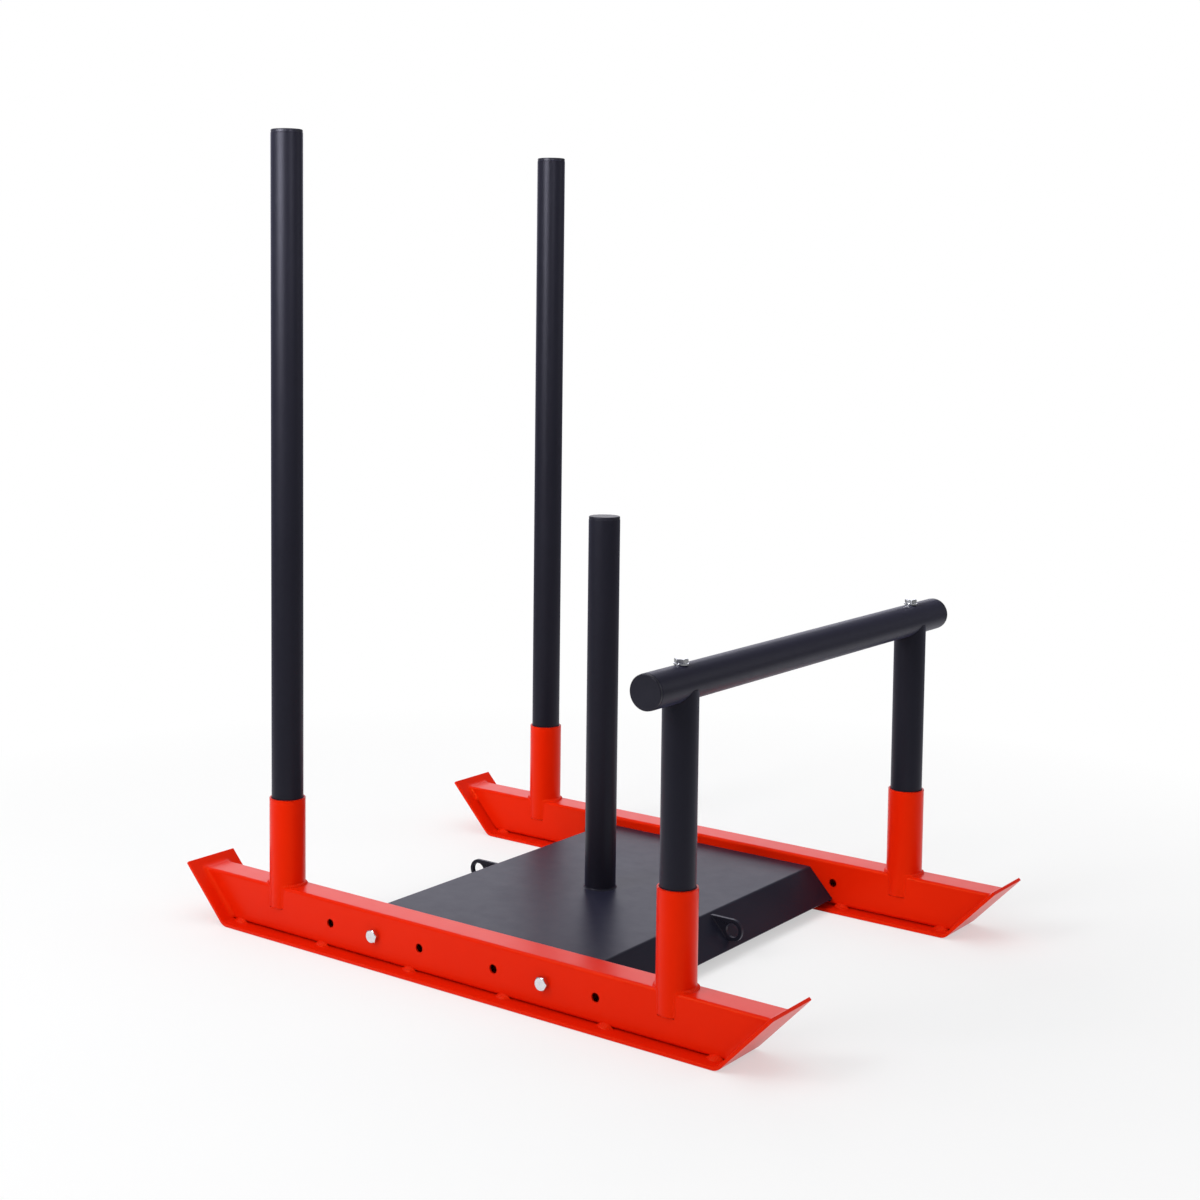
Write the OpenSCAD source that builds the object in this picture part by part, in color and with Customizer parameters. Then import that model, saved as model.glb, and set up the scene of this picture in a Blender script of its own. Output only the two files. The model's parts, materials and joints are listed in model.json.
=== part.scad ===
// Weight sled: two skid runners, a bolted weight deck with a plate post,
// two lift-out push poles and a lift-out front handle.
// X runs along the runners with the handle at +X, Z is up, and the floor is z = 0.

/* [Skid plates] */
// Distance between the centre lines of the two runners
track = 676; // [580:2:780]
// Width of a skid plate
ski_w = 100; // [90:1:140]
// Thickness of a skid plate
ski_t = 5; // [4:0.5:8]
// Length of the flat sole of a skid plate, between its two folds
ski_flat = 908; // [880:1:1000]
// Length of a turned-up end, from its fold to its tip
ramp_len = 112; // [108:0.5:150]
// Angle of the turned-up ends above the floor
ramp_angle = 46.5; // [43.5:1.5:48]
// Inside radius of the folds
ski_bend_r = 14; // [6:0.5:15]

/* [Runner beams] */
// Width of the box tube
beam_w = 50; // [44:1:54]
// Height of the box tube
beam_h = 72; // [64:1:80]
// Wall of the box tube
beam_wall = 3; // [2:0.25:3.5]
// Outside corner radius of the box tube
beam_corner_r = 5; // [4:0.25:8]
// Seam between the box tube and its skid plate, bridged by the stitch welds
seam_gap = 1.5; // [1.2:0.1:2]
// Spacing of the bolt positions along the beams
hole_spacing = 90; // [80:1:92]
// Distance between the two innermost bolt holes
hole_inner = 140; // [120:1:160]
// Diameter of the bolt holes
hole_d = 13.5; // [13:0.25:15]

/* [Stitch welds] */
// Number of stitches along each side of a beam
stitch_count = 6; // [4:1:8]
// Distance of the outermost stitches from the creases of the skid plates
stitch_inset = 15; // [15:0.5:60]
// Length of a stitch
stitch_len = 22; // [16:1:23]
// Largest radius of a stitch, from the corner that it fills
stitch_r = 6; // [5:0.25:6.5]

/* [End welds] */
// Radius of the welds along the raked ends of the beams
end_weld_r = 3; // [2.5:0.25:3]
// Share of a rear end's inner seam that is left open, from its foot
open_share = 0.65; // [0.2:0.05:0.8]

/* [Sockets] */
// Distance of each socket from the middle of the sled
socket_x = 366; // [350:1:400]
// Wall of the socket tubes
socket_wall = 3; // [2.5:0.25:4]
// Height of the sockets above the beams
socket_rise = 138; // [90:1:180]
// Depth to which the sockets are let into the beams
socket_depth = 36; // [28:1:40]
// Gap between a socket's foot and the bottom of its notch in the beam
socket_gap = 0.8; // [0.2:0.1:2]
// Radial clearance of a tube in its socket
socket_clear = 0.4; // [0.3:0.05:0.9]
// Height of the weld around the foot of a socket
socket_weld = 5; // [3:0.5:7]

/* [Black tubes] */
// Outside diameter of the poles, uprights, crossbar and weight post
tube_d = 50; // [45:0.5:50.5]
// Wall of the poles, uprights and crossbar
tube_wall = 2.5; // [1.5:0.25:4]
// Length of a push pole's tube
pole_len = 1205; // [900:1:1300]
// Length of the weight post's tube
post_len = 593; // [300:1:700]
// Wall of the weight post
post_wall = 3; // [2.5:0.25:5]
// Height of the weld around the weight post
post_weld_h = 2; // [1.5:0.5:6]

/* [End caps] */
// Thickness of a cap's head
cap_head = 5; // [3:0.25:7]
// Rounding of the head's rim
cap_round = 1.5; // [0.5:0.25:2.5]
// How far the head stays inside the tube's outside diameter
cap_step = 0.4; // [0.2:0.1:0.8]
// Length of the ribbed plug inside the tube
cap_plug = 20; // [14:1:30]
// Wall of the ribbed plug
cap_wall = 2; // [1.5:0.25:3]
// Number of ribs on the plug
cap_ribs = 3; // [2:1:4]

/* [Front handle] */
// Length of an upright's tube, from its foot cap to the tips of its cope
upright_len = 438; // [300:1:600]
// How far the tips of the cope stay below the crossbar's axis
cope_drop = 7; // [4:0.5:12]
// Length of the crossbar's tube beyond the axis of each upright
bar_overhang = 80.5; // [50:0.5:120]
// Diameter of the handle bolts
handle_bolt_d = 10; // [8:1:12]
// Width across the flats of the handle bolts
handle_bolt_af = 17; // [16:0.5:19]
// Height of a handle bolt's head
handle_bolt_head = 6.5; // [5:0.5:8]
// Outside diameter of a handle bolt's washer
handle_washer_d = 21; // [20:0.5:24]
// Thickness of a handle bolt's washer
handle_washer_t = 2; // [1:0.25:3]
// Thickness of the threaded plug in the top of an upright
plug_t = 12; // [8:1:16]
// Depth of the threaded plug below the crossbar
plug_drop = 2; // [1:0.5:5]

/* [Weight deck] */
// Thickness of the deck sheet
deck_t = 4; // [3:0.5:6]
// Length of the deck's flat top, between its two folds
deck_flat = 409; // [390:1:440]
// Height of the deck's top below the top of the beams
deck_drop = 15.5; // [10:0.5:20]
// Angle of the sloping flanges below the top
flange_angle = 47; // [43:1:50]
// Length of the sloping flanges below their folds
flange_len = 61; // [50:0.5:64]
// Inside radius of the deck's folds
deck_bend_r = 2; // [1:0.25:4]
// Thickness of the deck's side plates
side_t = 5; // [4:0.5:6]
// Gap between a side plate's foot and the skid plate under it
side_lift = 7; // [7:0.5:12]
// Bevel of a side plate's upper corners, clear of the folds
side_bevel = 3; // [2:0.5:8]
// Gap between the deck's edges and the beams
deck_gap = 0.3; // [0.2:0.05:0.6]

/* [Deck bolts] */
// Diameter of the deck bolts
bolt_d = 12; // [10:1:12]
// Width across the flats of the deck bolts
bolt_af = 19; // [18:0.5:20]
// Height of a deck bolt's head
bolt_head = 7.5; // [6:0.5:9]
// Length of a deck bolt under its head
bolt_len = 70; // [68:1:80]
// Height of a deck nut
nut_h = 10; // [8:0.5:11]
// Outside diameter of a deck washer
washer_d = 24; // [22:0.5:28]
// Thickness of a washer
washer_t = 2.5; // [1.5:0.25:3]

/* [Tow eyes] */
// Thickness of a tow eye
eye_t = 6; // [4:0.5:10]
// Radius of a tow eye's nose
eye_r = 17; // [15:0.5:18]
// Diameter of the hole in a tow eye
eye_hole_d = 22; // [16:0.5:24]
// Distance of the hole beyond the crease of the deck's top
eye_reach = 42; // [40:0.5:55]
// Depth of the hole below the deck's top
eye_drop = 19.5; // [18.5:0.5:24]

/* [Hidden] */
$fn = 96;

// Sides of the sled: right is -Y and left is +Y when one looks towards the handle
RIGHT = -1;
LEFT = 1;
FRONT = 1;
REAR = -1;

// Radial gap where one welded or fixed curved face lies against another
weld_gap = 0.1;
// Gap between a thread and its nut or plug, on the diameter
thread_gap = 0.2;
// Play of a bolt in a washer or in the crossbar, on the diameter
bolt_play = 1;
// Gap between a cap's plug and the tube's bore, and the thickness of the ribs that close it
cap_gap = 0.6;
cap_rib_t = 1.2;
// Broken edges of the tubes and of the sockets' mouths
tube_edge = 0.4;
socket_edge = 0.6;
// Corner bevel of hexagons and point of bolts, as shares of their width and diameter
hex_bevel = 0.12;
bolt_point = 0.1;
// Slope of the turned corners of a hexagon
hex_slope = 30;
// Extra length of cutting bodies
eps = 1;

// Heights
beam_z = ski_t + seam_gap;
beam_top = beam_z + beam_h;
beam_mid = beam_z + beam_h / 2;
notch_z = beam_top - socket_depth;
socket_foot = notch_z + socket_gap;
socket_top = beam_top + socket_rise;
deck_top = beam_top - deck_drop;
tube_foot = notch_z + cap_head;
bar_z = tube_foot + upright_len + cope_drop;

// Radii
tube_r = tube_d / 2;
socket_bore_r = tube_r + socket_clear;
socket_r = socket_bore_r + socket_wall;
hole_r = hole_d / 2;

// Places across the sled
beam_y = track / 2;
beam_inner_y = beam_y - beam_w / 2;
beam_outer_y = beam_y + beam_w / 2;
bar_len = track + 2 * bar_overhang;
deck_half_w = beam_inner_y - deck_gap;
// Inside face of a side plate, where the washers and nuts sit
side_inner_y = deck_half_w - side_t;

// Bolt positions along a beam: three sets, of which the middle one is used
hole_x = [for (k = [0 : 2]) hole_inner / 2 + k * hole_spacing];
deck_bolt_x = hole_x[1];

// The handle bolts go through the crossbar and end flush with their plugs
plug_top = bar_z - tube_r - plug_drop;
handle_bolt_len = handle_washer_t + tube_d + plug_drop + plug_t;
handle_hole_d = handle_bolt_d + bolt_play;

function tube_bore_r(wall) = tube_r - wall;

// Where the planes of a skid plate's upper faces cross, and those of the deck's outer faces
ski_crease_x = ski_flat / 2 + ski_bend_r * tan(ramp_angle / 2);
deck_crease_x = deck_flat / 2 + (deck_bend_r + deck_t) * tan(flange_angle / 2);

// Distance between stitches
stitch_spacing = 2 * (ski_crease_x - stitch_inset) / (stitch_count - 1);

// The raked end of a beam at height z, one seam away from the ramp
function beam_end_x(z) = ski_crease_x + (z - ski_t) / tan(ramp_angle)
    - seam_gap / sin(ramp_angle);

// The outer face of the deck's sloping flange at height z
function flange_x(z) = deck_crease_x + (deck_top - z) / tan(flange_angle);

// Section of a plate with both ends folded up; its flat underside is on the X axis
module folded_section(flat, t, r_in, angle, leg) {
    r_out = r_in + t;
    translate([-flat / 2, 0])
        square([flat, t]);
    for (side = [0, 1]) mirror([side, 0])
        translate([flat / 2, r_out]) {
            intersection() {
                difference() {
                    circle(r = r_out);
                    circle(r = r_in);
                }
                translate([0, -2 * r_out]) square(2 * r_out);
                rotate(angle) translate([-2 * r_out, -2 * r_out]) square(2 * r_out);
            }
            rotate(angle) translate([0, -r_out])
                square([leg, t]);
        }
}

// Rectangle with round corners, centred
module round_rect(w, h, r) {
    square([w - 2 * r, h], center = true);
    square([w, h - 2 * r], center = true);
    for (x = [-1, 1], y = [-1, 1])
        translate([x * (w / 2 - r), y * (h / 2 - r)])
            circle(r = r, $fn = 48);
}

// Tube standing on z = 0 with broken edges
module tube(r_out, r_in, length, edge) {
    rotate_extrude() polygon([
        [r_in + edge, 0], [r_out - edge, 0], [r_out, edge], [r_out, length - edge],
        [r_out - edge, length], [r_in + edge, length], [r_in, length - edge], [r_in, edge]
    ]);
}

// Cap for the end of a tube: the head stands on z = 0 and the plug hangs below it
module end_cap(wall) {
    head_r = tube_r - cap_step;
    plug_r = tube_bore_r(wall) - cap_gap;
    plug_bore_r = plug_r - cap_wall;
    rib_r = tube_bore_r(wall) - weld_gap;
    rib_pitch = cap_plug / (cap_ribs + 0.5);
    rotate_extrude() {
        square([head_r, cap_head - cap_round]);
        square([head_r - cap_round, cap_head]);
        translate([head_r - cap_round, cap_head - cap_round]) intersection() {
            circle(r = cap_round, $fn = 48);
            square(cap_round);
        }
        translate([plug_bore_r, -cap_plug])
            square([cap_wall, cap_plug]);
        for (k = [1 : cap_ribs])
            translate([plug_bore_r, -k * rib_pitch])
                square([rib_r - plug_bore_r, cap_rib_t]);
    }
}

// Six-sided body with turned corners at its outer end, and at both ends for a nut
module hex_body(af, h, both_ends) {
    corner_r = af / sqrt(3);
    bevel = hex_bevel * af;
    drop = bevel * tan(hex_slope);
    intersection() {
        cylinder(r = corner_r, h = h, $fn = 6);
        rotate_extrude() polygon([
            [0, 0],
            [both_ends ? corner_r - bevel : corner_r, 0],
            [corner_r, both_ends ? drop : 0],
            [corner_r, h - drop],
            [corner_r - bevel, h],
            [0, h]
        ]);
    }
}

// Bolt whose head stands on z = 0 and whose shank hangs below it
module hex_bolt(d, af, head, length) {
    tip = bolt_point * d;
    hex_body(af, head, false);
    translate([0, 0, -length]) rotate_extrude() polygon([
        [0, 0], [d / 2 - tip, 0], [d / 2, tip], [d / 2, length], [0, length]
    ]);
}

module washer(d_out, d_in, t) {
    difference() {
        cylinder(d = d_out, h = t);
        translate([0, 0, -eps]) cylinder(d = d_in, h = t + 2 * eps);
    }
}

// Half section of a concave fillet of height h around a tube of radius r
module fillet_section(r, h) {
    difference() {
        translate([r, 0]) square([h, h]);
        translate([r + h, h]) circle(r = h, $fn = 48);
    }
}

// Child placed at a bolt position: origin on the beam's outer face, +Z pointing away from it
module at_deck_bolt(side, x, y) {
    translate([x, side * y, beam_mid]) rotate([-side * 90, 0, 0]) children();
}

module ski(side) {
    color("orangered") translate([0, side * beam_y, 0]) rotate([90, 0, 0])
        linear_extrude(height = ski_w, center = true)
            folded_section(ski_flat, ski_t, ski_bend_r, ramp_angle, ramp_len);
}

// Everything under a skid plate's upper faces, for cutting the welds flush with them
module ski_blank() {
    depth = 2 * ski_t;
    rotate([90, 0, 0]) linear_extrude(height = 2 * ski_w, center = true) {
        folded_section(ski_flat, ski_t, ski_bend_r, ramp_angle, ramp_len);
        translate([-ski_crease_x, ski_t - depth])
            square([2 * ski_crease_x, depth]);
        for (end = [0, 1]) mirror([end, 0])
            translate([ski_crease_x, ski_t]) rotate(ramp_angle)
                translate([0, -depth]) square([ramp_len, depth]);
    }
}

// Full beam before its holes: box tube cut to the rake of the ramps
module beam_blank(outer_only) {
    full = 2 * beam_end_x(beam_top) + 2 * eps;
    intersection() {
        translate([0, 0, beam_mid]) rotate([90, 0, 90])
            linear_extrude(height = full, center = true) difference() {
                round_rect(beam_w, beam_h, beam_corner_r);
                if (!outer_only)
                    round_rect(beam_w - 2 * beam_wall, beam_h - 2 * beam_wall,
                        beam_corner_r - beam_wall);
            }
        rotate([90, 0, 0]) linear_extrude(height = beam_w + 2 * eps, center = true)
            polygon([
                [-beam_end_x(beam_z), beam_z], [beam_end_x(beam_z), beam_z],
                [beam_end_x(beam_top), beam_top], [-beam_end_x(beam_top), beam_top]
            ]);
    }
}

module beam(side) {
    color("orangered") translate([0, side * beam_y, 0]) difference() {
        beam_blank(false);
        for (end = [REAR, FRONT])
            translate([end * socket_x, 0, notch_z])
                cylinder(r = socket_r + weld_gap, h = socket_depth + eps);
        for (end = [REAR, FRONT], x = hole_x)
            translate([end * x, 0, beam_mid]) rotate([90, 0, 0])
                cylinder(r = hole_r, h = beam_w + 2 * eps, center = true, $fn = 48);
    }
}

// Stitch welds fill the corner between the skid plate and the rounded foot of the beam
module stitch_welds(side) {
    bulge = (stitch_len * stitch_len / 4 + stitch_r * stitch_r) / (2 * stitch_r);
    color("orangered") translate([0, side * beam_y, 0]) difference() {
        for (face = [-1, 1], k = [0 : stitch_count - 1])
            translate([(k - (stitch_count - 1) / 2) * stitch_spacing, face * beam_w / 2, ski_t])
                rotate([0, 90, 0]) rotate_extrude($fn = 48) intersection() {
                    translate([stitch_r - bulge, 0]) circle(r = bulge, $fn = 192);
                    translate([0, -stitch_len / 2]) square([stitch_r, stitch_len]);
                }
        beam_blank(true);
        ski_blank();
    }
}

// Round bead standing on z = 0, with a ball beyond each end
module bead(r, length) {
    rotate_extrude($fn = 48) intersection() {
        union() {
            square([r, length]);
            for (z = [0, length]) translate([0, z]) circle(r = r, $fn = 48);
        }
        translate([0, -r]) square([r, length + 2 * r]);
    }
}

// Welds along the raked ends of a beam: up both of its sides and across its top.
// The inner seam of the rear end is welded at its upper end only.
module end_welds(side) {
    rake = (beam_top - ski_t) / sin(ramp_angle);
    color("orangered") translate([0, side * beam_y, 0]) difference() {
        for (end = [REAR, FRONT], face = [-1, 1]) {
            start = end == REAR && face == -side ? open_share * rake : 0;
            mirror([end == REAR ? 1 : 0, 0, 0])
                translate([ski_crease_x, face * beam_w / 2, ski_t])
                    rotate([0, 90 - ramp_angle, 0]) {
                        translate([0, 0, start]) bead(end_weld_r, rake - start);
                        translate([0, 0, rake]) rotate([face * 90, 0, 0])
                            cylinder(r = end_weld_r - weld_gap, h = beam_w / 2, $fn = 48);
                    }
        }
        beam_blank(true);
        ski_blank();
    }
}

module socket(side, end) {
    color("orangered") translate([end * socket_x, side * beam_y, socket_foot])
        tube(socket_r, socket_bore_r, socket_top - socket_foot, socket_edge);
}

// Welds where the sockets leave the top of the beams, on the flat between its corners
module socket_welds() {
    flat = beam_w - 2 * beam_corner_r;
    reach = socket_r + weld_gap + socket_weld;
    color("orangered") for (side = [RIGHT, LEFT], end = [REAR, FRONT])
        translate([end * socket_x, side * beam_y, beam_top]) intersection() {
            rotate_extrude() fillet_section(socket_r + weld_gap, socket_weld);
            translate([-reach, -flat / 2, 0])
                cube([2 * reach, flat, socket_weld]);
        }
}

module deck() {
    color("#26262c") translate([0, 0, deck_top]) rotate([-90, 0, 0])
        linear_extrude(height = 2 * deck_half_w, center = true)
            folded_section(deck_flat, deck_t, deck_bend_r, flange_angle, flange_len);
}

// Side plate under the deck's edge, closed against both sloping flanges
module deck_side(side) {
    top = deck_top - deck_t - weld_gap;
    foot = ski_t + side_lift;
    back = (deck_t + 2 * weld_gap) / sin(flange_angle);
    y = deck_half_w - side_t / 2;
    half = [
        [flange_x(foot) - back, foot],
        [flange_x(top - side_bevel) - back, top - side_bevel],
        [flange_x(top) - back - side_bevel, top]
    ];
    color("#26262c") difference() {
        translate([0, side * y, 0]) rotate([90, 0, 0])
            linear_extrude(height = side_t, center = true)
                polygon(concat(half, [for (k = [2 : -1 : 0]) [-half[k][0], half[k][1]]]));
        for (end = [REAR, FRONT])
            translate([end * deck_bolt_x, side * y, beam_mid]) rotate([90, 0, 0])
                cylinder(r = hole_r, h = side_t + 2 * eps, center = true, $fn = 48);
    }
}

// Tow eye: a flat lug standing on the sloping flange, with a round nose and hole
module tow_eye(end) {
    x = deck_crease_x + eye_reach;
    z = deck_top - eye_drop;
    color("#26262c") mirror([end == REAR ? 1 : 0, 0, 0]) rotate([90, 0, 0])
        linear_extrude(height = eye_t, center = true) difference() {
            union() {
                translate([x, z]) circle(r = eye_r);
                translate([deck_crease_x, z - eye_r])
                    square([eye_reach, 2 * eye_r]);
            }
            translate([x, z]) circle(d = eye_hole_d);
            polygon([[flange_x(deck_top), deck_top], [flange_x(0), 0], [0, 0], [0, deck_top]]);
        }
}

// Post with the weld that runs round its foot
module weight_post() {
    r_in = tube_bore_r(post_wall);
    color("#1d1d22") translate([0, 0, deck_top]) rotate_extrude() {
        polygon([
            [r_in, 0], [tube_r, 0], [tube_r, post_len - tube_edge],
            [tube_r - tube_edge, post_len], [r_in + tube_edge, post_len],
            [r_in, post_len - tube_edge]
        ]);
        fillet_section(tube_r, post_weld_h);
    }
}

module post_cap() {
    color("#202024") translate([0, 0, deck_top + post_len]) end_cap(post_wall);
}

module deck_bolts() {
    color("silver") for (side = [RIGHT, LEFT], end = [REAR, FRONT])
        at_deck_bolt(side, end * deck_bolt_x, beam_outer_y)
            hex_bolt(bolt_d, bolt_af, bolt_head, bolt_len);
}

module deck_washers() {
    color("silver") for (side = [RIGHT, LEFT], end = [REAR, FRONT])
        at_deck_bolt(side, end * deck_bolt_x, side_inner_y - washer_t)
            washer(washer_d, bolt_d + bolt_play, washer_t);
}

module deck_nuts() {
    color("silver") for (side = [RIGHT, LEFT], end = [REAR, FRONT])
        at_deck_bolt(side, end * deck_bolt_x, side_inner_y - washer_t - nut_h)
            difference() {
                hex_body(bolt_af, nut_h, true);
                translate([0, 0, -eps])
                    cylinder(d = bolt_d + thread_gap, h = nut_h + 2 * eps, $fn = 48);
            }
}

module push_pole(side) {
    color("#1d1d22") translate([-socket_x, side * beam_y, tube_foot])
        tube(tube_r, tube_bore_r(tube_wall), pole_len, tube_edge);
}

module pole_top_cap(side) {
    color("#202024") translate([-socket_x, side * beam_y, tube_foot + pole_len])
        end_cap(tube_wall);
}

// Foot cap that stands on the notch in the beam, at the rear or the front
module foot_cap(side, end) {
    color("#202024") translate([end * socket_x, side * beam_y, tube_foot])
        mirror([0, 0, 1]) end_cap(tube_wall);
}

module crossbar() {
    color("#1d1d22") difference() {
        translate([socket_x, bar_len / 2, bar_z]) rotate([90, 0, 0])
            tube(tube_r, tube_bore_r(tube_wall), bar_len, tube_edge);
        for (side = [RIGHT, LEFT])
            translate([socket_x, side * beam_y, bar_z])
                cylinder(d = handle_hole_d, h = tube_d + 2 * eps, center = true, $fn = 48);
    }
}

module bar_cap(side) {
    color("#202024") translate([socket_x, side * bar_len / 2, bar_z])
        rotate([-side * 90, 0, 0]) end_cap(tube_wall);
}

// Upright with its top coped to the crossbar
module upright(side) {
    color("#1d1d22") difference() {
        translate([socket_x, side * beam_y, tube_foot])
            tube(tube_r, tube_bore_r(tube_wall), upright_len, tube_edge);
        translate([socket_x, side * beam_y, bar_z]) rotate([90, 0, 0])
            cylinder(r = tube_r + weld_gap, h = 2 * tube_d, center = true);
    }
}

// Threaded plug welded inside the top of an upright
module upright_plug(side) {
    color("dimgray") translate([socket_x, side * beam_y, plug_top - plug_t]) difference() {
        cylinder(r = tube_bore_r(tube_wall) - weld_gap, h = plug_t);
        translate([0, 0, -eps])
            cylinder(d = handle_bolt_d + thread_gap, h = plug_t + 2 * eps, $fn = 48);
    }
}

module handle_bolts() {
    color("silver") for (side = [RIGHT, LEFT])
        translate([socket_x, side * beam_y, bar_z + tube_r + handle_washer_t])
            hex_bolt(handle_bolt_d, handle_bolt_af, handle_bolt_head, handle_bolt_len);
}

module handle_washers() {
    color("silver") for (side = [RIGHT, LEFT])
        translate([socket_x, side * beam_y, bar_z + tube_r])
            washer(handle_washer_d, handle_hole_d, handle_washer_t);
}

ski(RIGHT);  // right_ski
ski(LEFT);  // left_ski
beam(RIGHT);  // right_beam
beam(LEFT);  // left_beam
stitch_welds(RIGHT);  // right_stitch_welds
stitch_welds(LEFT);  // left_stitch_welds
end_welds(RIGHT);  // right_end_welds
end_welds(LEFT);  // left_end_welds
socket(RIGHT, REAR);  // right_rear_socket
socket(RIGHT, FRONT);  // right_front_socket
socket(LEFT, REAR);  // left_rear_socket
socket(LEFT, FRONT);  // left_front_socket
socket_welds();
deck();
deck_side(RIGHT);  // right_deck_side
deck_side(LEFT);  // left_deck_side
tow_eye(FRONT);  // front_tow_eye
tow_eye(REAR);  // rear_tow_eye
weight_post();
post_cap();
deck_bolts();
deck_washers();
deck_nuts();
push_pole(RIGHT);  // right_push_pole
pole_top_cap(RIGHT);  // right_pole_top_cap
foot_cap(RIGHT, REAR);  // right_pole_foot_cap
push_pole(LEFT);  // left_push_pole
pole_top_cap(LEFT);  // left_pole_top_cap
foot_cap(LEFT, REAR);  // left_pole_foot_cap
crossbar();
bar_cap(RIGHT);  // right_bar_cap
bar_cap(LEFT);  // left_bar_cap
upright(RIGHT);  // right_upright
upright(LEFT);  // left_upright
foot_cap(RIGHT, FRONT);  // right_upright_foot_cap
foot_cap(LEFT, FRONT);  // left_upright_foot_cap
upright_plug(RIGHT);  // right_upright_plug
upright_plug(LEFT);  // left_upright_plug
handle_bolts();
handle_washers();
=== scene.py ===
"""A push and pull weight sled in red and black powder coat, in a white studio."""
import json
import math

import bmesh
import bpy
from mathutils import Matrix, Vector


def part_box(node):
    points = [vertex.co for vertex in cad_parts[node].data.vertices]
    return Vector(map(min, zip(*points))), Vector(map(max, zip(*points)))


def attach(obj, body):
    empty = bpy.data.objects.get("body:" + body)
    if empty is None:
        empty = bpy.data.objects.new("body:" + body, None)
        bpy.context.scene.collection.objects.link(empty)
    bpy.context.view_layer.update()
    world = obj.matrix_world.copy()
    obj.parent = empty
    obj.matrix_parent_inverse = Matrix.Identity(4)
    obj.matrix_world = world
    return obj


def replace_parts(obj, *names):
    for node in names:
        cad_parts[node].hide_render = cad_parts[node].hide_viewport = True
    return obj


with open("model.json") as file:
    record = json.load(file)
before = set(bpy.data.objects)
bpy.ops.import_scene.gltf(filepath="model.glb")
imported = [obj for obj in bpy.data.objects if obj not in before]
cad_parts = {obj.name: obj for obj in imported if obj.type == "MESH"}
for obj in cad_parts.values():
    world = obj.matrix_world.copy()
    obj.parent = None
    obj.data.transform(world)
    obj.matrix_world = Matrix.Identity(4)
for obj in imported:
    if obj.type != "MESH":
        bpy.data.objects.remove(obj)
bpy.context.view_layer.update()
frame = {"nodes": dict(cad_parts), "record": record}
NODES = frame["nodes"]

MM = 0.001


# Materials

class Graph:
    """A small helper that adds nodes to a material and links them."""

    def __init__(self, name):
        self.material = bpy.data.materials.new(name)
        self.material.use_nodes = True
        self.tree = self.material.node_tree
        self.shader = self.tree.nodes["Principled BSDF"]

    def node(self, kind, **values):
        made = self.tree.nodes.new(kind)
        for key, value in values.items():
            setattr(made, key, value)
        return made

    def link(self, source, target):
        self.tree.links.new(source, target)

    def coordinates(self):
        return self.node("ShaderNodeTexCoord").outputs["Object"]

    def noise(self, scale, detail=2.0, roughness=0.5):
        """Noise with about so many patches to a metre."""
        made = self.node("ShaderNodeTexNoise")
        made.inputs["Scale"].default_value = scale
        made.inputs["Detail"].default_value = detail
        made.inputs["Roughness"].default_value = roughness
        self.link(self.coordinates(), made.inputs["Vector"])
        return made.outputs["Fac"]

    def spread(self, value, low, high, start=0.3, end=0.7):
        """Maps a noise value onto the range from low to high."""
        made = self.node("ShaderNodeMapRange")
        made.inputs["From Min"].default_value = start
        made.inputs["From Max"].default_value = end
        made.inputs["To Min"].default_value = low
        made.inputs["To Max"].default_value = high
        self.link(value, made.inputs["Value"])
        return made.outputs["Result"]

    def blend(self, value, first, second):
        """Mixes two colours by a value."""
        made = self.node("ShaderNodeMix", data_type="RGBA")
        made.inputs["A"].default_value = (*first, 1.0)
        made.inputs["B"].default_value = (*second, 1.0)
        self.link(value, made.inputs["Factor"])
        return made.outputs["Result"]

    def bump(self, value, distance, strength=1.0, before=None):
        made = self.node("ShaderNodeBump")
        made.inputs["Strength"].default_value = strength
        made.inputs["Distance"].default_value = distance
        self.link(value, made.inputs["Height"])
        if before is not None:
            self.link(before, made.inputs["Normal"])
        return made.outputs["Normal"]

    def set(self, **values):
        for key, value in values.items():
            self.shader.inputs[key.replace("_", " ")].default_value = value

    def gloss(self, level, tint=(1.0, 1.0, 1.0)):
        self.set(Specular_IOR_Level=level, Specular_Tint=(*tint, 1.0))


# Height of the powder's fine grain as a share of its orange peel
GRAIN_SHARE = 0.18


def powder_coat(name, base, shade, rough, peel, gloss, tint):
    """Sprayed and baked powder: an even colour with a fine orange-peel skin."""
    graph = Graph(name)
    clouds = graph.spread(graph.noise(scale=7.0, detail=3.0), 0.0, 1.0)
    graph.link(graph.blend(clouds, base, shade), graph.shader.inputs["Base Color"])
    patches = graph.noise(scale=38.0, detail=4.0, roughness=0.6)
    graph.link(graph.spread(patches, *rough), graph.shader.inputs["Roughness"])
    skin = graph.bump(graph.noise(scale=420.0), peel)
    grain = graph.bump(graph.noise(scale=2400.0, detail=1.0), peel * GRAIN_SHARE, before=skin)
    graph.link(grain, graph.shader.inputs["Normal"])
    graph.gloss(gloss, tint)
    return graph


def zinc_plate(name):
    """Bright zinc over turned and rolled steel, a little uneven."""
    graph = Graph(name)
    clouds = graph.spread(graph.noise(scale=160.0, detail=3.0), 0.0, 1.0)
    colour = graph.blend(clouds, (0.80, 0.81, 0.83), (0.68, 0.70, 0.73))
    graph.link(colour, graph.shader.inputs["Base Color"])
    rough = graph.spread(graph.noise(scale=600.0, detail=3.0), 0.19, 0.26)
    graph.link(rough, graph.shader.inputs["Roughness"])
    graph.link(graph.bump(graph.noise(scale=900.0), 0.03 * MM), graph.shader.inputs["Normal"])
    graph.set(Metallic=1.0)
    return graph


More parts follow.
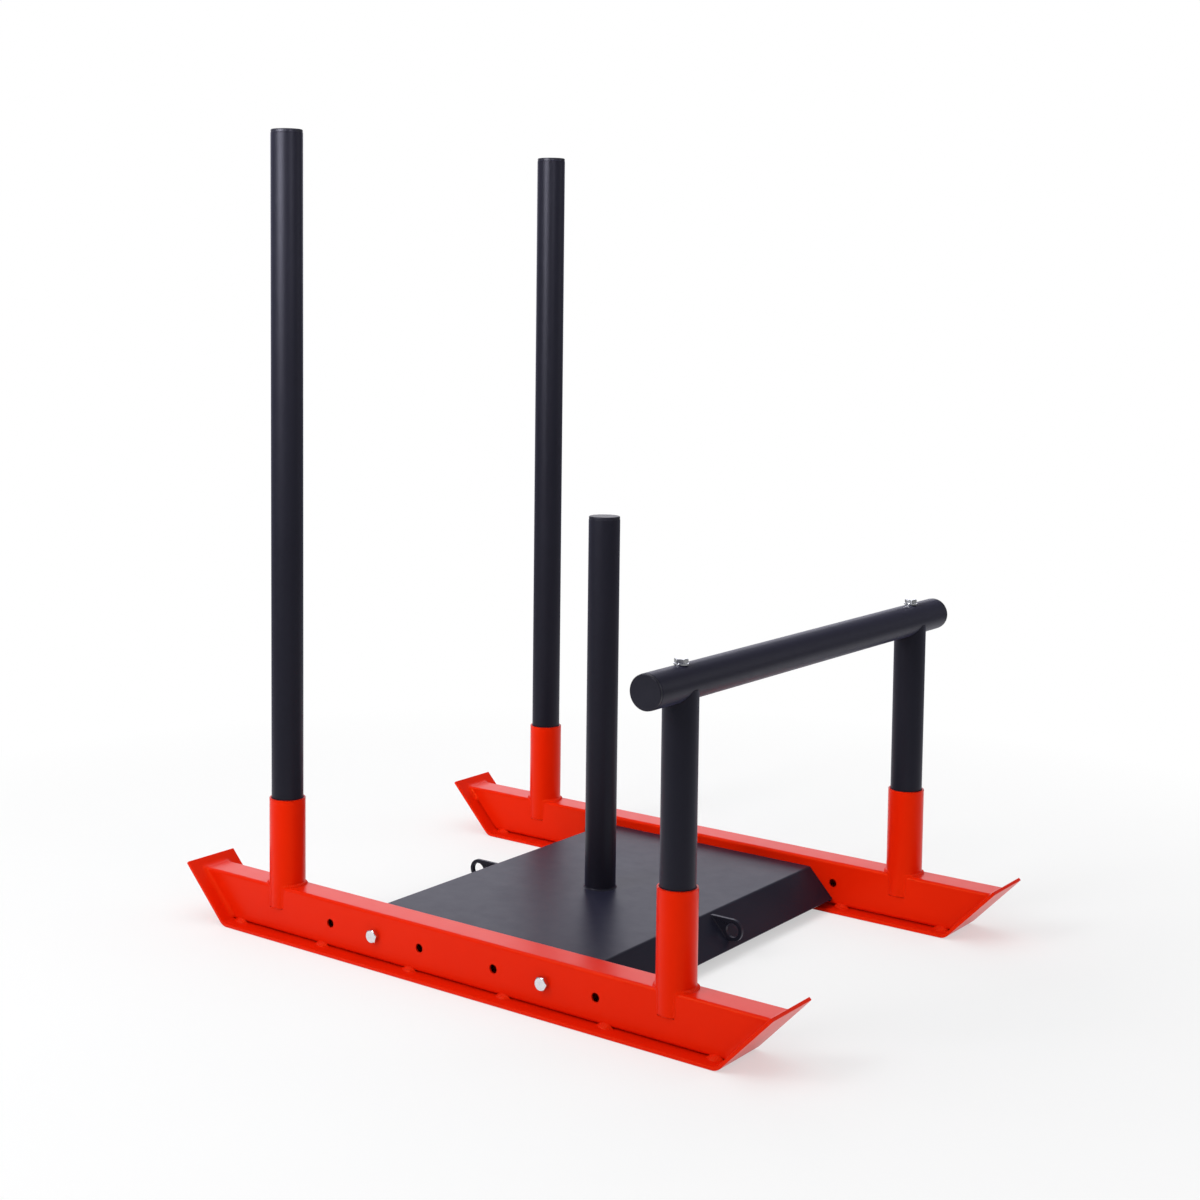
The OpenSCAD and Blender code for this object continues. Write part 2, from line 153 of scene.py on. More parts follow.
def moulded_plastic(name):
    """Black moulded plastic with the fine spark texture of its mould."""
    graph = Graph(name)
    clouds = graph.spread(graph.noise(scale=30.0), 0.0, 1.0)
    colour = graph.blend(clouds, (0.009, 0.009, 0.015), (0.012, 0.012, 0.019))
    graph.link(colour, graph.shader.inputs["Base Color"])
    rough = graph.spread(graph.noise(scale=500.0), 0.36, 0.44)
    graph.link(rough, graph.shader.inputs["Roughness"])
    graph.link(graph.bump(graph.noise(scale=1800.0), 0.04 * MM), graph.shader.inputs["Normal"])
    graph.gloss(0.34, tint=(0.84, 0.83, 0.97))
    return graph


def machined_steel(name):
    """Bare turned steel with fine rings."""
    graph = Graph(name)
    rings = graph.node("ShaderNodeTexWave", wave_type="RINGS", rings_direction="Z")
    rings.inputs["Scale"].default_value = 900.0
    graph.link(graph.coordinates(), rings.inputs["Vector"])
    clouds = graph.spread(graph.noise(scale=120.0), 0.0, 1.0)
    colour = graph.blend(clouds, (0.45, 0.45, 0.46), (0.36, 0.36, 0.38))
    graph.link(colour, graph.shader.inputs["Base Color"])
    graph.link(graph.spread(graph.noise(scale=300.0), 0.3, 0.45), graph.shader.inputs["Roughness"])
    graph.link(graph.bump(rings.outputs["Fac"], 0.02 * MM), graph.shader.inputs["Normal"])
    graph.set(Metallic=1.0)
    return graph


RED = powder_coat("red powder coat", base=(0.780, 0.0150, 0.0008), shade=(0.755, 0.0130, 0.0006),
                  rough=(0.285, 0.32), peel=0.016 * MM, gloss=0.24,
                  tint=(1.0, 0.32, 0.08)).material
BLACK_GRAPH = powder_coat("black powder coat", base=(0.0078, 0.0077, 0.0123),
                          shade=(0.0090, 0.0089, 0.0140), rough=(0.38, 0.42), peel=0.015 * MM,
                          gloss=0.21, tint=(0.79, 0.785, 0.96))
BLACK_GRAPH.set(Sheen_Weight=0.09, Sheen_Roughness=0.45, Sheen_Tint=(0.45, 0.45, 1.0, 1.0))
BLACK = BLACK_GRAPH.material
ZINC = zinc_plate("zinc plate").material
PLASTIC = moulded_plastic("moulded plastic").material
STEEL = machined_steel("machined steel").material

FINISH = {
    "red_paint": RED,
    "black_paint": BLACK,
    "zinc_plated_steel": ZINC,
    "black_plastic": PLASTIC,
    "bare_steel": STEEL,
}

# Bevel width of the sharp edges in each finish, in millimetres
EDGE = {
    "red_paint": 0.7,
    "black_paint": 0.6,
    "zinc_plated_steel": 0.25,
    "black_plastic": 0.3,
    "bare_steel": 0.4,
}
# Edges that turn by more than this are rounded
ROUNDED_ANGLE = math.radians(32)
# Corners of the CAD's triangles closer than this are one point, in metres
SAME_POINT = 1e-6


def finish_cad_nodes():
    """Gives every CAD node its material and real rounded edges."""
    slots = {s["node"]: s["material_slot"] for s in frame["record"]["subparts"]}
    for name, obj in NODES.items():
        slot = slots[name]
        obj.data.materials.clear()
        obj.data.materials.append(FINISH[slot])
        weld = obj.modifiers.new("join", "WELD")
        weld.merge_threshold = SAME_POINT
        bevel = obj.modifiers.new("edges", "BEVEL")
        bevel.width = EDGE[slot] * MM
        bevel.segments = 3
        bevel.limit_method = "ANGLE"
        bevel.angle_limit = ROUNDED_ANGLE
        bevel.use_clamp_overlap = True
        normals = obj.modifiers.new("even shading", "WEIGHTED_NORMAL")
        normals.mode = "FACE_AREA_WITH_ANGLE"


finish_cad_nodes()


# Weld beads

# Places and sizes of the solids that the welds join, in millimetres, read from the frame
def low(name):
    return [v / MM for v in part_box(name)[0]]


def high(name):
    return [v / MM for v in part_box(name)[1]]


RIGHT = -1
LEFT = 1
FRONT = 1
REAR = -1
SIDES = {RIGHT: "right", LEFT: "left"}
ENDS = (REAR, FRONT)

BEAM_Y = (low("left_beam")[1] + high("left_beam")[1]) / 2
BEAM_HALF = (high("left_beam")[1] - low("left_beam")[1]) / 2
BEAM_TOP = high("left_beam")[2]
BEAM_FOOT = low("left_beam")[2]
BEAM_CORNER = 5.0
BEAM_END = high("left_beam")[0]
# Thickness of a skid plate, and the angle of its ramps
PLATE = 5.0
RAMP_ANGLE = math.radians(46.5)
# Where the ramp's upper face meets the height of the beam's top
RAMP_TOP_X = BEAM_END + (BEAM_FOOT - PLATE) / math.sin(RAMP_ANGLE)
SOCKET_X = (low("left_front_socket")[0] + high("left_front_socket")[0]) / 2
SOCKET_R = (high("left_front_socket")[0] - low("left_front_socket")[0]) / 2
SOCKET_FOOT = low("left_front_socket")[2]
DECK_TOP = high("deck")[2]
DECK_SHEET = 4.0
FLANGE_ANGLE = math.radians(47)
# Where the upper face of the deck's flange meets the height of its top
FLANGE_TOP_X = high("deck")[0] - (
    DECK_TOP - low("deck")[2] - DECK_SHEET * math.cos(FLANGE_ANGLE)) / math.tan(FLANGE_ANGLE)
# The post's tube alone (its box holds its weld too)
POST_R = 25.0
EYE_HALF = (high("front_tow_eye")[1] - low("front_tow_eye")[1]) / 2
EYE_ROOT = low("front_tow_eye")[2], high("front_tow_eye")[2]


class Shell:
    """Collects closed grids of points and turns them into one mesh object."""

    def __init__(self):
        self.points = []
        self.faces = []

    def tube(self, rings):
        """Adds a closed skin through rings of equal length, with flat ends."""
        start = len(self.points)
        count = len(rings[0])
        for ring in rings:
            self.points.extend(tuple(c * MM for c in point) for point in ring)
        for k in range(len(rings) - 1):
            for j in range(count):
                a = start + k * count + j
                b = start + k * count + (j + 1) % count
                self.faces.append((a, b, b + count, a + count))
        self.faces.append(tuple(start + j for j in reversed(range(count))))
        last = start + (len(rings) - 1) * count
        self.faces.append(tuple(last + j for j in range(count)))

    def finish(self, name, material, body, sharp=40.0):
        """Makes the object. Edges that turn by more than the sharp angle aren't smoothed."""
        mesh = bpy.data.meshes.new(name)
        mesh.from_pydata(self.points, [], self.faces)
        work = bmesh.new()
        work.from_mesh(mesh)
        bmesh.ops.recalc_face_normals(work, faces=work.faces)
        work.to_mesh(mesh)
        work.free()
        mesh.materials.append(material)
        mesh.set_sharp_from_angle(angle=math.radians(sharp))
        mesh.polygons.foreach_set("use_smooth", [True] * len(mesh.polygons))
        obj = bpy.data.objects.new(name, mesh)
        bpy.context.scene.collection.objects.link(obj)
        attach(obj, body)
        return obj


class Bead:
    """How a weld bead looks: its leg on wall A and the share of that on wall B (rise), its bulge,
    the height and pitch of its ripples, how its ends taper to a point, and how deep its back lies
    in the walls. A bulge of 0 is flat and -1 runs smoothly into both walls."""

    def __init__(self, leg, bulge, ripple=0.0, pitch=3.2, taper=4.0, point=0.5, bury=1.2,
                 rise=1.0):
        self.leg = leg
        self.rise = rise
        self.bulge = bulge
        self.ripple = ripple
        self.pitch = pitch
        self.taper = taper
        self.point = point
        self.bury = bury


SECTION_STEPS = 11
BEAD_STEP = 0.55
# Least size of a bead at its tapered ends, and how deep its back lies at most against its sides
END_SIZE = 0.06
DEEPEST = 1.5
# How far a smooth bead runs on beyond its legs, and how deep that rim lies below the walls
SKIRT = 1.5
SUNK = 0.02
# How far a ripple bows along the bead, as a share of its pitch
RIPPLE_BOW = 0.55


def bead_rings(style, route, closed=False):
    """Rings of a bead along a route of (corner point, direction on wall A, direction on wall B).

    The directions point away from the corner along the two walls that the bead joins."""
    corners = [Vector(r[0]) for r in route]
    lengths = [0.0]
    for first, second in zip(corners, corners[1:]):
        lengths.append(lengths[-1] + (second - first).length)
    total = lengths[-1]
    steps = max(2, int(total / BEAD_STEP))
    rings = []
    segment = 0
    for k in range(steps + 1):
        along = total * k / steps
        while segment < len(lengths) - 2 and lengths[segment + 1] < along:
            segment += 1
        share = (along - lengths[segment]) / max(1e-9, lengths[segment + 1] - lengths[segment])
        corner, wall_a, wall_b = (
            Vector(route[segment][m]).lerp(Vector(route[segment + 1][m]), share) for m in range(3))
        wall_a.normalize()
        wall_b.normalize()
        outward = (wall_a + wall_b).normalized()
        smooth = (wall_a + wall_b).length / 4
        size = math.sin(wall_a.angle(wall_b))
        if not closed:
            near = min(1.0, min(along, total - along) / style.taper)
            size *= max(END_SIZE, 1 - (1 - near) ** 2) ** style.point
        leg = style.leg * size
        skirt = SKIRT if style.bulge < 0 else 0.0
        ring = [corner + wall_a * (leg + skirt) - wall_b * SUNK] if skirt else []
        for j in range(SECTION_STEPS):
            t = j / (SECTION_STEPS - 1)
            crown = 4 * t * (1 - t)
            phase = 2 * math.pi * (along / style.pitch - RIPPLE_BOW * crown)
            wave = style.ripple * (0.5 + 0.5 * math.cos(phase))
            swell = (style.bulge * smooth * leg + wave * size) * crown
            ring.append(corner + wall_a * leg * (1 - t) + wall_b * leg * style.rise * t
                        + outward * swell)
        if skirt:
            ring.append(corner + wall_b * (leg * style.rise + skirt) - wall_a * SUNK)
        bury = style.bury * size
        ring.append(corner + wall_b * leg / 2 - wall_a * bury)
        ring.append(corner - outward * bury * DEEPEST)
        ring.append(corner + wall_a * leg / 2 - wall_b * bury)
        rings.append(ring)
    return rings


def between_walls(corner, normal_a, normal_b):
    """A route point at the corner of two walls with the given outward normals."""
    a = Vector(normal_a)
    b = Vector(normal_b)
    along_a = (b - b.dot(a) * a).normalized()
    along_b = (a - a.dot(b) * b).normalized()
    return corner, along_a, along_b


def stitch_route(side, face, x, length):
    """Along the foot of a beam, on its outer or inner face."""
    y = side * BEAM_Y + face * BEAM_HALF
    return [((x + k * length / 2, y, PLATE), (0, face, 0), (0, 0, 1)) for k in (-1, 0, 1)]


def beam_outline(z_from):
    """Points (y, z) and outward normals up one side of a beam, over its top and down again."""
    half = BEAM_HALF
    r = BEAM_CORNER
    turns = [math.radians(a) for a in range(0, 91, 15)]
    up = [((half, z_from), (1, 0)), ((half, BEAM_TOP - r), (1, 0))]
    up += [((half - r + r * math.cos(a), BEAM_TOP - r + r * math.sin(a)),
            (math.cos(a), math.sin(a))) for a in turns[1:]]
    down = [((-y, z), (-ny, nz)) for (y, z), (ny, nz) in reversed(up)]
    return up + down


def end_route(side, end):
    """Up one side of a beam's raked end, across its top and down the other side. The inner side
    of a rear end is welded near its top only."""
    slope = math.tan(RAMP_ANGLE)
    ramp_normal = (-end * math.sin(RAMP_ANGLE), 0, math.cos(RAMP_ANGLE))
    route = []
    outline = beam_outline(BEAM_FOOT + SEAM_START)
    square_z = BEAM_TOP - BEAM_CORNER - END_TURN
    outline.insert(1, ((BEAM_HALF, square_z), (1, 0)))
    outline.insert(-1, ((-BEAM_HALF, square_z), (-1, 0)))
    if end == REAR:
        open_top = BEAM_FOOT + OPEN_SHARE * (BEAM_TOP - BEAM_FOOT)
        inner = -1 if side == LEFT else 0
        (y, z), normal = outline[inner]
        outline[inner] = ((y, open_top), normal)
        del outline[-2 if side == LEFT else 1]
    for (y, z), (ny, nz) in outline:
        x = end * (RAMP_TOP_X - (BEAM_TOP - z) / slope)
        corner, along_ramp, along_beam = between_walls(
            (x, side * BEAM_Y + y, z), ramp_normal, (0, ny, nz))
        if z > square_z + END_TURN / 2:
            along_beam = Vector((-end, 0, 0))
        route.append((corner, along_ramp, along_beam))
    return route


def socket_route(side, end, front):
    """Round one half of a socket's foot: up the beam's side, across its top and down again."""
    route = []
    outline = beam_outline(SOCKET_FOOT + SEAM_START)
    middle = len(outline) // 2
    top_y = BEAM_HALF - BEAM_CORNER
    across = [((top_y * math.cos(math.radians(a)), BEAM_TOP), (0, 1)) for a in range(10, 171, 10)]
    for (y, z), (ny, nz) in outline[:middle] + across + outline[middle:]:
        x = front * math.sqrt(SOCKET_R ** 2 - y ** 2)
        tube_normal = (x / SOCKET_R, y / SOCKET_R, 0)
        corner = (end * SOCKET_X + x, side * BEAM_Y + y, z)
        along_tube = between_walls(corner, (0, ny, nz), tube_normal)[2]
        room = max(0.0, top_y - abs(y)) / SOCKET.leg
        out = math.copysign(min(abs(tube_normal[1]), room), y)
        along_beam = Vector((front * math.sqrt(1 - out ** 2), out, 0))
        route.append((corner, along_beam, along_tube))
    return route


def ring_route(radius, z):
    """Round the part's middle axis at a height."""
    route = []
    for degrees in range(0, 361, 5):
        a = math.radians(degrees)
        out = (math.cos(a), math.sin(a), 0)
        route.append(((radius * out[0], radius * out[1], z), out, (0, 0, 1)))
    return route


def eye_route(end, face):
    """Beside a tow eye, down the deck's sloping flange."""
    normal = (end * math.sin(FLANGE_ANGLE), 0, math.cos(FLANGE_ANGLE))
    route = []
    for z in (EYE_ROOT[1] - EYE_WELD_SHORT[1], sum(EYE_ROOT) / 2, EYE_ROOT[0] + EYE_WELD_SHORT[0]):
        x = end * (FLANGE_TOP_X + (DECK_TOP - z) / math.tan(FLANGE_ANGLE))
        route.append(((x, face * EYE_HALF, z), (0, face, 0), normal))
    return route


STITCH = Bead(leg=7.6, rise=0.8, bulge=0.06, ripple=0.35, pitch=3.6, taper=13.0, point=0.9,
              bury=2.6)
END = Bead(leg=9.0, bulge=-0.97, taper=6.0, bury=1.4)
# Distance below a beam's round corner over which the end weld turns square to the beam
END_TURN = 12.0
SOCKET = Bead(leg=4.0, bulge=0.3, ripple=0.6, pitch=3.2, taper=5.0, bury=0.8)
POST = Bead(leg=2.4, bulge=-0.5, ripple=0.15, pitch=3.2, bury=0.8)
EYE = Bead(leg=2.2, bulge=-0.3, ripple=0.15, pitch=2.8, taper=3.0, bury=0.6)
# Share of a rear end's inner seam that is left open, from its foot
OPEN_SHARE = 0.65
# Height above a beam's or a socket's foot at which the seams along it start
SEAM_START = 1.0
# How much the welds beside a tow eye end short of its foot and its top
EYE_WELD_SHORT = (3.0, 1.5)

STITCHES = 6
STITCH_SPACING = 178.0
STITCH_LENGTH = 28.0


def weld_beads():
    """Beads with ripples in place of the plain welds, and small ones that the solids lack."""
    for side, word in SIDES.items():
        shell = Shell()
        for face in (-1, 1):
            for k in range(STITCHES):
                x = (k - (STITCHES - 1) / 2) * STITCH_SPACING
                shell.tube(bead_rings(STITCH, stitch_route(side, face, x, STITCH_LENGTH)))
        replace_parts(shell.finish(word + "_stitch_beads", RED, "base"),
                    word + "_stitch_welds")
        shell = Shell()
        for end in ENDS:
            shell.tube(bead_rings(END, end_route(side, end)))
        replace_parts(shell.finish(word + "_end_beads", RED, "base"),
                    word + "_end_welds")
    shell = Shell()
    for side in SIDES:
        for end in ENDS:
            for front in (-1, 1):
                shell.tube(bead_rings(SOCKET, socket_route(side, end, front)))
    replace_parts(shell.finish("socket_beads", RED, "base"), "socket_welds")
    shell = Shell()
    shell.tube(bead_rings(POST, ring_route(POST_R, DECK_TOP), closed=True))
    shell.finish("post_bead", BLACK, "base")
    shell = Shell()
    for end in ENDS:
        for face in (-1, 1):
            shell.tube(bead_rings(EYE, eye_route(end, face)))
    shell.finish("tow_eye_beads", BLACK, "base")


weld_beads()


# Bolts

AROUND = 36
THREAD_STEPS = 6
# Radius of the bearing face and of the chamfer's top, as a share of the width across flats
FACE_SHARE = 0.47
# Thickness of the bearing face
FACE_LIFT = 0.5
CHAMFER = math.tan(math.radians(30))
# Depth of a thread as a share of its pitch, and how steep its flanks are (1 has no flat root)
THREAD_DEPTH = 0.54
THREAD_FLANK = 1.25


def circle(radius, z):
    angles = [2 * math.pi * k / AROUND for k in range(AROUND)]
    return [(radius * math.cos(a), radius * math.sin(a), z) for a in angles]


def hexagon(flats, top=None):
    """Outline of a hexagon at the foot of its sides, or along the chamfer below a top."""
    ring = []
    for k in range(AROUND):
        degrees = 360 * k / AROUND
        radius = flats / 2 / math.cos(math.radians(degrees % 60 - 30))
        z = FACE_LIFT
        if top is not None:
            z = top - (radius - FACE_SHARE * flats) * CHAMFER
        a = math.radians(degrees)
        ring.append((radius * math.cos(a), radius * math.sin(a), z))
    return ring


def thread(radius, pitch, start, end):
    """Rings of a screw thread from start up to end."""
    depth = THREAD_DEPTH * pitch
    rings = []
    for k in range(int((end - start) / pitch * THREAD_STEPS) + 1):
        z = start + k * pitch / THREAD_STEPS
        ring = []
        for j in range(AROUND):
            phase = (z / pitch - j / AROUND) % 1.0
            r = radius - depth * min(1.0, THREAD_FLANK * abs(2 * phase - 1))
            a = 2 * math.pi * j / AROUND
            ring.append((r * math.cos(a), r * math.sin(a), z))
        rings.append(ring)
    return rings


def bolt_rings(size, flats, head, length, pitch, threaded):
    """Rings of a bolt from its end up, with the underside of its head at height 0."""
    radius = size / 2
    face = FACE_SHARE * flats
    rings = [circle(radius - pitch, -length)]
    rings += thread(radius, pitch, -length + pitch / 2, -length + threaded)
    rings += [circle(radius, -length + threaded + pitch / 2), circle(radius, 0.0),
              circle(face, 0.0), circle(face, FACE_LIFT), hexagon(flats), hexagon(flats, head),
              circle(face, head)]
    return rings


def placed(rings, place, outward, clock):
    """Turns rings made around +Z to another axis, at a place, clocked by some degrees."""
    outward = Vector(outward)
    across = Matrix.Rotation(math.radians(clock), 3, outward) @ Vector((1, 0, 0))
    upward = outward.cross(across)
    return [[Vector(place) + across * x + upward * y + outward * z for x, y, z in ring]
            for ring in rings]


# Sizes of the bolts in millimetres
DECK_BOLT = dict(size=12.0, flats=19.0, head=7.5, length=70.0, pitch=1.75, threaded=14.0)
HANDLE_BOLT = dict(size=10.0, flats=17.0, head=6.5, length=66.0, pitch=1.5, threaded=6.0)
# How far each bolt happens to be turned, in degrees
CLOCKS = {(RIGHT, REAR): 14.0, (RIGHT, FRONT): 3.0, (LEFT, REAR): 41.0, (LEFT, FRONT): 26.0}
HANDLE_CLOCKS = {RIGHT: 22.0, LEFT: 8.0}
# Rounding of a bolt's edges, the turn above which an edge is rounded, and above which it is sharp
BOLT_EDGE = 0.2
BOLT_ROUNDED_ANGLE = math.radians(26)
BOLT_SHARP = 22.0


def bolts():
    """Bolts with real heads and threads in place of the plain ones."""
    corner = DECK_BOLT["flats"] / math.sqrt(3)
    x = high("deck_bolts")[0] - corner
    z = (low("deck_bolts")[2] + high("deck_bolts")[2]) / 2
    shell = Shell()
    for (side, end), clock in CLOCKS.items():
        place = (end * x, side * (BEAM_Y + BEAM_HALF), z)
        shell.tube(placed(bolt_rings(**DECK_BOLT), place, (0, side, 0), clock))
    made = shell.finish("hex_bolts", ZINC, "base", BOLT_SHARP)
    round_edges(made)
    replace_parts(made, "deck_bolts")
    shell = Shell()
    foot = high("handle_bolts")[2] - HANDLE_BOLT["head"]
    for side, clock in HANDLE_CLOCKS.items():
        place = (SOCKET_X, side * BEAM_Y, foot)
        shell.tube(placed(bolt_rings(**HANDLE_BOLT), place, (0, 0, 1), clock))
    made = shell.finish("handle_hex_bolts", ZINC, "front_handle", BOLT_SHARP)
    round_edges(made)
    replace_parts(made, "handle_bolts")


def round_edges(obj):
    """Rounds a bolt's edges."""
    bevel = obj.modifiers.new("edges", "BEVEL")
    bevel.width = BOLT_EDGE * MM
    bevel.segments = 2
    bevel.limit_method = "ANGLE"
    bevel.angle_limit = BOLT_ROUNDED_ANGLE
    normals = obj.modifiers.new("even shading", "WEIGHTED_NORMAL")
    normals.mode = "FACE_AREA_WITH_ANGLE"


bolts()


# Studio

def seen_directly(tree):
    """1 for camera, glossy and transmission rays, 0 for the light that the object receives."""
    path = tree.nodes.new("ShaderNodeLightPath")
    total = path.outputs["Is Camera Ray"]
    for kind in ("Is Glossy Ray", "Is Transmission Ray"):
        larger = tree.nodes.new("ShaderNodeMath")
        larger.operation = "MAXIMUM"
        tree.links.new(total, larger.inputs[0])
        tree.links.new(path.outputs[kind], larger.inputs[1])
        total = larger.outputs[0]
    return total


def studio_world():
    """White to the eye. Reflections show a white sweep behind and above the sled in a grey room,
    and the sled receives a softer light."""
    world = bpy.data.worlds.new("studio")
    bpy.context.scene.world = world
    world.use_nodes = True
    tree = world.node_tree
    tree.nodes.clear()
    direction = tree.nodes.new("ShaderNodeTexCoord").outputs["Generated"]
    facing = tree.nodes.new("ShaderNodeVectorMath")
    facing.operation = "DOT_PRODUCT"
    facing.inputs[1].default_value = Vector(SWEEP).normalized()
    tree.links.new(direction, facing.inputs[0])
    sweep = tree.nodes.new("ShaderNodeMapRange")
    sweep.interpolation_type = "SMOOTHSTEP"
    sweep.inputs["From Min"].default_value = SWEEP_EDGE[0]
    sweep.inputs["From Max"].default_value = SWEEP_EDGE[1]
    sweep.inputs["To Min"].default_value = ROOM_GREY
    tree.links.new(facing.outputs["Value"], sweep.inputs["Value"])
    path = tree.nodes.new("ShaderNodeLightPath")
    reflected = tree.nodes.new("ShaderNodeBackground")
    reflected.inputs["Color"].default_value = (*SWEEP_TINT, 1.0)
    tree.links.new(sweep.outputs["Result"], reflected.inputs["Strength"])
    white = tree.nodes.new("ShaderNodeBackground")
    white.inputs["Color"].default_value = (1.0, 1.0, 1.0, 1.0)
    seen = tree.nodes.new("ShaderNodeMixShader")
    tree.links.new(path.outputs["Is Camera Ray"], seen.inputs["Fac"])
    tree.links.new(reflected.outputs["Background"], seen.inputs[1])
    tree.links.new(white.outputs["Background"], seen.inputs[2])
    lit = tree.nodes.new("ShaderNodeBackground")
    lit.inputs["Color"].default_value = (*WORLD_COLOUR, 1.0)
    lit.inputs["Strength"].default_value = WORLD_LIGHT
    mix = tree.nodes.new("ShaderNodeMixShader")
    out = tree.nodes.new("ShaderNodeOutputWorld")
    tree.links.new(seen_directly(tree), mix.inputs["Fac"])
    tree.links.new(lit.outputs["Background"], mix.inputs[1])
    tree.links.new(seen.outputs["Shader"], mix.inputs[2])
    tree.links.new(mix.outputs["Shader"], out.inputs["Surface"])


def area_light(name, place, aim, size, power, beam):
    """A softbox whose light leaves it within a cone of the given angle, in degrees."""
    data = bpy.data.lights.new(name, "AREA")
    data.shape = "RECTANGLE"
    data.size, data.size_y = size
    data.energy = power
    data.spread = math.radians(beam)
    lamp = bpy.data.objects.new(name, data)
    bpy.context.scene.collection.objects.link(lamp)
    lamp.location = place
    lamp.visible_camera = False
    lamp.rotation_euler = (Vector(aim) - Vector(place)).to_track_quat("-Z", "Y").to_euler()
    return lamp


def floor():
    """Pale floor that holds the sled's shadow and turns into the white backdrop around it."""
    mesh = bpy.data.meshes.new("floor")
    signs = ((-1, -1), (1, -1), (1, 1), (-1, 1))
    corners = [(FLOOR_HALF * x, FLOOR_HALF * y, 0) for x, y in signs]
    mesh.from_pydata(corners, [], [(0, 1, 2, 3)])
    obj = bpy.data.objects.new("floor", mesh)
    bpy.context.scene.collection.objects.link(obj)
    obj.location.z = -FLOOR_DROP
    graph = Graph("floor")
    graph.set(Base_Color=(*FLOOR_COLOUR, 1.0), Roughness=0.85)
    graph.gloss(0.0)
    distance = graph.node("ShaderNodeVectorMath", operation="LENGTH")
    graph.link(graph.coordinates(), distance.inputs[0])
    fade = graph.spread(distance.outputs["Value"], NEAR_WHITE, 1.0, *FADE)
    share = graph.node("ShaderNodeMath", operation="MULTIPLY")
    graph.link(fade, share.inputs[0])
    graph.link(seen_directly(graph.tree), share.inputs[1])
    white = graph.node("ShaderNodeEmission")
    path = graph.node("ShaderNodeLightPath")
    dim = graph.spread(distance.outputs["Value"], 0.0, FLOOR_REFLECTED - 1.0, *FLOOR_DIM)
    strength = graph.node("ShaderNodeMath", operation="MULTIPLY_ADD")
    graph.link(path.outputs["Is Glossy Ray"], strength.inputs[0])
    graph.link(dim, strength.inputs[1])
    strength.inputs[2].default_value = 1.0
    graph.link(strength.outputs[0], white.inputs["Strength"])
    mix = graph.node("ShaderNodeMixShader")
    graph.link(share.outputs[0], mix.inputs["Fac"])
    graph.link(graph.shader.outputs["BSDF"], mix.inputs[1])
    graph.link(white.outputs["Emission"], mix.inputs[2])
    graph.link(mix.outputs["Shader"], graph.tree.nodes["Material Output"].inputs["Surface"])
    obj.data.materials.append(graph.material)


WORLD_LIGHT = 0.46
WORLD_COLOUR = (0.97, 0.98, 1.0)
# Direction of the middle of the white sweep, the cosines at which it fades, and the grey beyond
SWEEP = (-0.78, 0.55, 0.30)
SWEEP_EDGE = (0.70, 0.97)
ROOM_GREY = 0.22
SWEEP_TINT = (0.86, 0.84, 0.95)
FLOOR_HALF = 30.0
FLOOR_DROP = 0.0005
FLOOR_COLOUR = (0.95, 0.95, 0.95)
# Distances from the sled's middle over which the floor turns white
FADE = (0.75, 1.7)
# Share of white that the eye sees in the floor close to the sled
NEAR_WHITE = 0.5
# In reflections the white of the floor dims to this strength over these distances
FLOOR_REFLECTED = 0.2
FLOOR_DIM = (1.0, 2.6)
# The lights for the tops of the poles are kept off the runners by a narrow beam, in degrees
POLE_BEAM = 72.0
OPEN_BEAM = 180.0

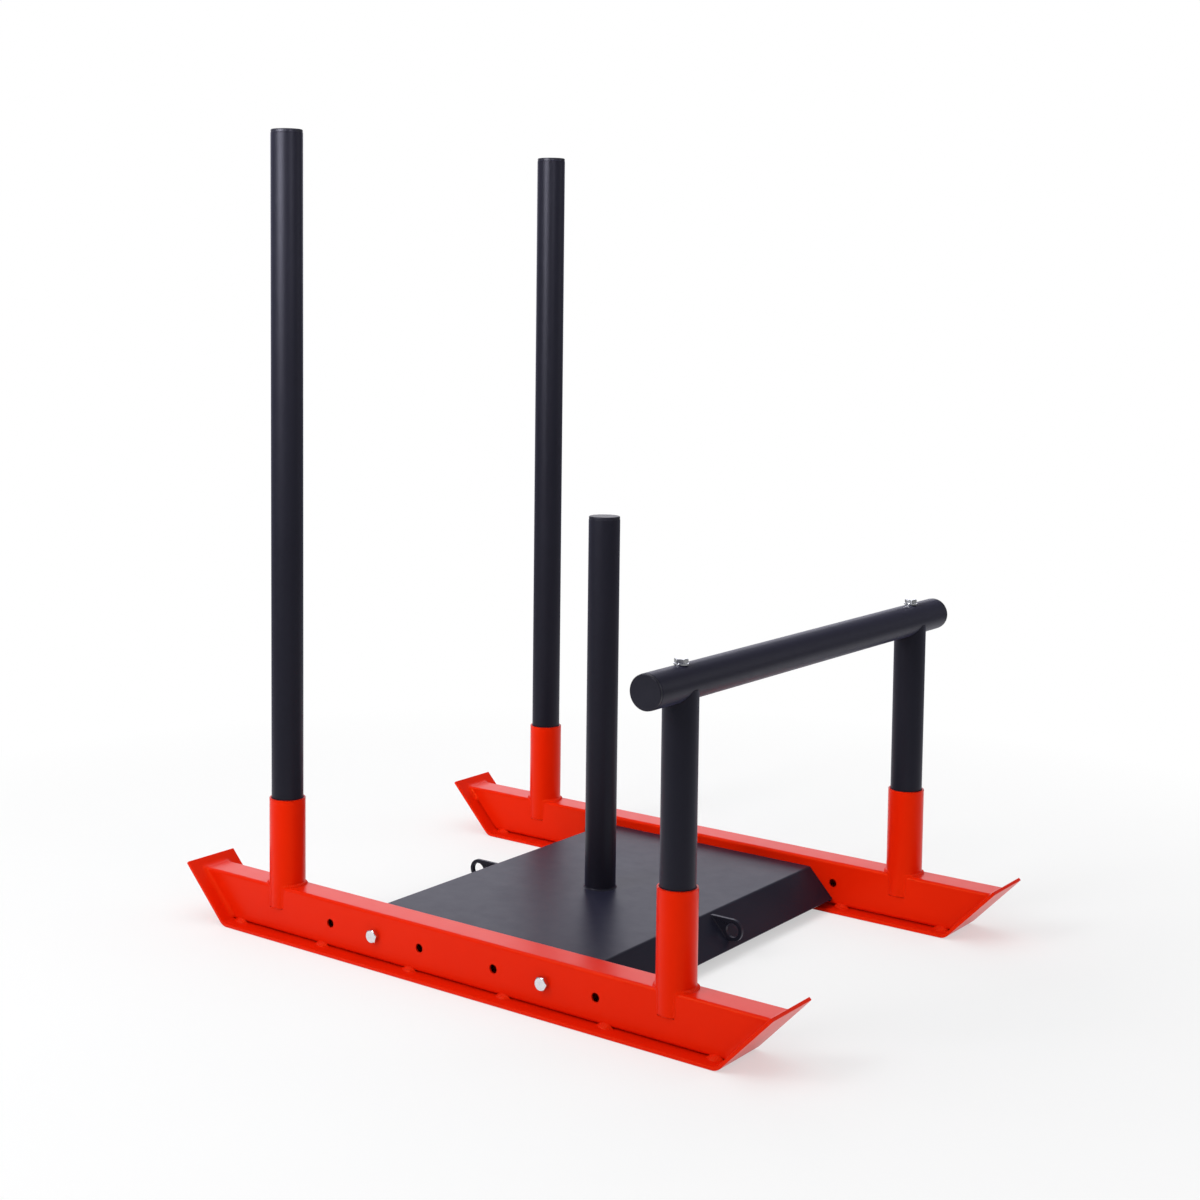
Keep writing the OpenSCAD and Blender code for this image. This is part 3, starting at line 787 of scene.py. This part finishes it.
# Name, place, point that it faces, width and height in metres, watts, beam in degrees
SOFTBOXES = (
    ("left softbox", (-1.15, -3.7, 2.0), (-0.2, 0.0, 0.6), (0.9, 2.0), 17.0, OPEN_BEAM),
    ("near left softbox", (-0.80, -1.8, 1.75), (-0.35, -0.2, 1.15), (0.75, 1.1), 15.0, OPEN_BEAM),
    ("pole softbox", (-0.34, -1.87, 1.55), (-0.35, -0.2, 1.40), (1.1, 0.9), 9.0, POLE_BEAM),
    ("right pole softbox", (1.35, -0.75, 1.55), (-0.35, -0.1, 1.40), (0.5, 0.8), 1.5, POLE_BEAM),
    ("right softbox", (2.9, 2.6, 1.7), (0.2, 0.0, 0.4), (1.2, 2.2), 12.0, OPEN_BEAM),
    ("top softbox", (0.0, 0.4, 3.6), (0.0, 0.0, 0.0), (3.4, 3.4), 34.0, OPEN_BEAM),
    ("high left softbox", (-2.0, -1.5, 3.0), (0.0, 0.0, 0.2), (2.0, 2.0), 12.0, OPEN_BEAM),
    ("fill", (3.0, -2.2, 1.4), (0.0, 0.0, 0.4), (2.0, 2.0), 12.0, OPEN_BEAM),
    ("back softbox", (-2.9, 3.8, 1.9), (0.0, 0.0, 0.2), (4.6, 2.0), 24.0, OPEN_BEAM),
)

studio_world()
floor()
lamps = {softbox[0]: area_light(*softbox) for softbox in SOFTBOXES}
lamps["fill"].visible_glossy = False


# Camera, as fitted to the photo

CAMERA_PLACE = (1.7278, -2.4497, 0.9903)
CAMERA_AZIMUTH = 37.76
CAMERA_DOWN = 4.57
CAMERA_ROLL = 0.49
PHOTO_SIDE = 1200
FOCAL_PIXELS = 1905.05
CENTRE_PIXELS = (520.18, 458.50)
SENSOR = 36.0


def camera():
    """A camera at the photo's place, with its focal length and its picture's centre."""
    data = bpy.data.cameras.new("camera")
    data.sensor_width = SENSOR
    data.lens = FOCAL_PIXELS * SENSOR / PHOTO_SIDE
    data.shift_x = (PHOTO_SIDE / 2 - CENTRE_PIXELS[0]) / PHOTO_SIDE
    data.shift_y = (CENTRE_PIXELS[1] - PHOTO_SIDE / 2) / PHOTO_SIDE
    data.clip_end = 100.0
    obj = bpy.data.objects.new("camera", data)
    bpy.context.scene.collection.objects.link(obj)
    turn = Matrix.Rotation(math.radians(CAMERA_AZIMUTH), 4, "Z")
    tilt = Matrix.Rotation(math.radians(90 - CAMERA_DOWN), 4, "X")
    roll = Matrix.Rotation(math.radians(CAMERA_ROLL), 4, "Z")
    obj.matrix_world = Matrix.Translation(CAMERA_PLACE) @ turn @ tilt @ roll
    bpy.context.scene.camera = obj


camera()
bpy.context.scene.view_settings.view_transform = "Standard"

bpy.context.view_layer.update()
